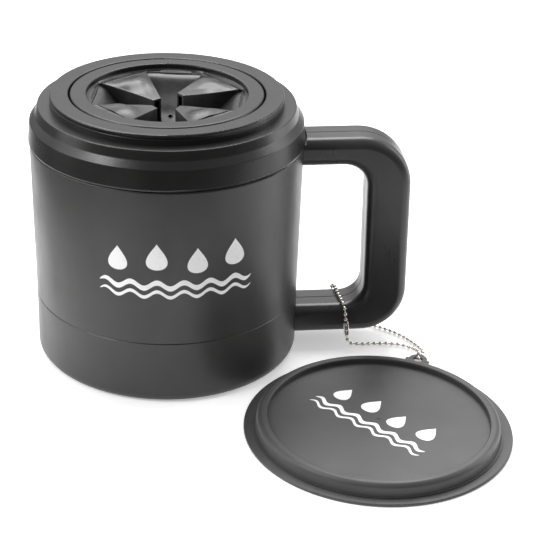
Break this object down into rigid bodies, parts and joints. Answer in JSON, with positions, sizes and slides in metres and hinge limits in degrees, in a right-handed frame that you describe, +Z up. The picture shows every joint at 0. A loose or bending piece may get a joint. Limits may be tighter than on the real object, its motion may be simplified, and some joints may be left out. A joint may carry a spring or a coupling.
{
  "type": "paw washer cup",
  "caption": "Double-walled mug with a handle, bristle-lined tub, screw-on collar with a pleated rubber splash guard, and a snap lid on a ball chain.",
  "frame": {"origin": "centre of the cup's base, on the face it stands on", "axes": "+Z up along the cup's axis, +X from the axis towards the handle; the lid lies on the same surface at +X, -Y"},
  "size_m": [0.2527, 0.248, 0.15],
  "materials": {
    "body_plastic": "satin",
    "collar_plastic": "matte",
    "handle_plastic": "satin",
    "liner_plastic": "satin",
    "lid_plastic": "matte",
    "strip_plastic": "matte",
    "bristle_nylon": "soft",
    "seal_rubber": "matte",
    "guard_rubber": "satin",
    "screw_steel": "zinc plated",
    "chain_metal": "nickel plated"
  },
  "bodies": {
    "cup": {"outer_shell": "body_plastic", "base_cap": "body_plastic", "inner_liner": "liner_plastic", "handle_front": "handle_plastic", "handle_back": "handle_plastic", "handle_screws": "screw_steel", "bristle_strip_1": "strip_plastic", "bristle_strip_2": "strip_plastic", "bristle_strip_3": "strip_plastic", "bristle_strip_4": "strip_plastic", "bristle_tufts_1": "bristle_nylon", "bristle_tufts_2": "bristle_nylon", "bristle_tufts_3": "bristle_nylon", "bristle_tufts_4": "bristle_nylon", "chain_front": "chain_metal", "chain_back": "chain_metal", "chain_clasp": "chain_metal"},
    "collar_seal": {"collar_seal": "seal_rubber"},
    "collar": {"collar": "collar_plastic", "seat_ring": "collar_plastic", "top_ring": "collar_plastic"},
    "splash_guard": {"guard_frame": "collar_plastic", "guard_web": "guard_rubber"},
    "petal_1": {"petal_1": "guard_rubber"},
    "petal_2": {"petal_2": "guard_rubber"},
    "petal_3": {"petal_3": "guard_rubber"},
    "petal_4": {"petal_4": "guard_rubber"},
    "flap_1": {"flap_1": "guard_rubber"},
    "flap_2": {"flap_2": "guard_rubber"},
    "flap_3": {"flap_3": "guard_rubber"},
    "flap_4": {"flap_4": "guard_rubber"},
    "lid": {"lid": "lid_plastic"}
  },
  "joints": [
    {"name": "collar_rise", "type": "slide", "parent": "cup", "child": "collar_seal", "axis": [0, 0, 1], "range_m": [0, 0.01]},
    {"name": "collar_turn", "type": "hinge", "parent": "collar_seal", "child": "collar", "pos_m": [0, 0, 0.14], "axis": [0, 0, 1], "range_deg": [0, 150]},
    {"name": "guard_lift", "type": "slide", "parent": "collar", "child": "splash_guard", "axis": [0, 0, 1], "range_m": [0, 0.045]},
    {"name": "petal_1_flex", "type": "hinge", "parent": "splash_guard", "child": "petal_1", "pos_m": [0.02908, 0.02231, 0.1436], "axis": [0.6088, -0.7934, 0], "range_deg": [0, 50], "stiffness_Nm_per_rad": 0.01, "springref_deg": -8.59},
    {"name": "petal_2_flex", "type": "hinge", "parent": "splash_guard", "child": "petal_2", "pos_m": [-0.02231, 0.02908, 0.1436], "axis": [0.7934, 0.6088, 0], "range_deg": [0, 50], "stiffness_Nm_per_rad": 0.01, "springref_deg": -8.59},
    {"name": "petal_3_flex", "type": "hinge", "parent": "splash_guard", "child": "petal_3", "pos_m": [-0.02908, -0.02231, 0.1436], "axis": [-0.6088, 0.7934, 0], "range_deg": [0, 50], "stiffness_Nm_per_rad": 0.01, "springref_deg": -8.59},
    {"name": "petal_4_flex", "type": "hinge", "parent": "splash_guard", "child": "petal_4", "pos_m": [0.02231, -0.02908, 0.1436], "axis": [-0.7934, -0.6088, 0], "range_deg": [0, 50], "stiffness_Nm_per_rad": 0.01, "springref_deg": -8.59},
    {"name": "flap_1_flex", "type": "hinge", "parent": "splash_guard", "child": "flap_1", "pos_m": [0.03882, -0.00511, 0.1436], "axis": [-0.1305, -0.9914, 0], "range_deg": [0, 42.5], "stiffness_Nm_per_rad": 0.01, "springref_deg": -8.59},
    {"name": "flap_2_flex", "type": "hinge", "parent": "splash_guard", "child": "flap_2", "pos_m": [0.00511, 0.03882, 0.1436], "axis": [0.9914, -0.1305, 0], "range_deg": [0, 42.5], "stiffness_Nm_per_rad": 0.01, "springref_deg": -8.59},
    {"name": "flap_3_flex", "type": "hinge", "parent": "splash_guard", "child": "flap_3", "pos_m": [-0.03882, 0.00511, 0.1436], "axis": [0.1305, 0.9914, 0], "range_deg": [0, 42.5], "stiffness_Nm_per_rad": 0.01, "springref_deg": -8.59},
    {"name": "flap_4_flex", "type": "hinge", "parent": "splash_guard", "child": "flap_4", "pos_m": [-0.00511, -0.03882, 0.1436], "axis": [-0.9914, 0.1305, 0], "range_deg": [0, 42.5], "stiffness_Nm_per_rad": 0.01, "springref_deg": -8.59},
    {"name": "lid_lift", "type": "slide", "parent": "cup", "child": "lid", "axis": [0, 0, 1], "range_m": [0, 0.025], "deforming": ["chain_front", "chain_back"]}
  ],
  "couplings": [
    {"joint": "collar_rise", "follows": "collar_turn", "m_per_rad": 0.0038197},
    {"joint": "petal_2_flex", "follows": "petal_1_flex", "ratio": 1},
    {"joint": "petal_3_flex", "follows": "petal_1_flex", "ratio": 1},
    {"joint": "petal_4_flex", "follows": "petal_1_flex", "ratio": 1},
    {"joint": "flap_1_flex", "follows": "petal_1_flex", "ratio": 0.85},
    {"joint": "flap_2_flex", "follows": "petal_1_flex", "ratio": 0.85},
    {"joint": "flap_3_flex", "follows": "petal_1_flex", "ratio": 0.85},
    {"joint": "flap_4_flex", "follows": "petal_1_flex", "ratio": 0.85}
  ]
}
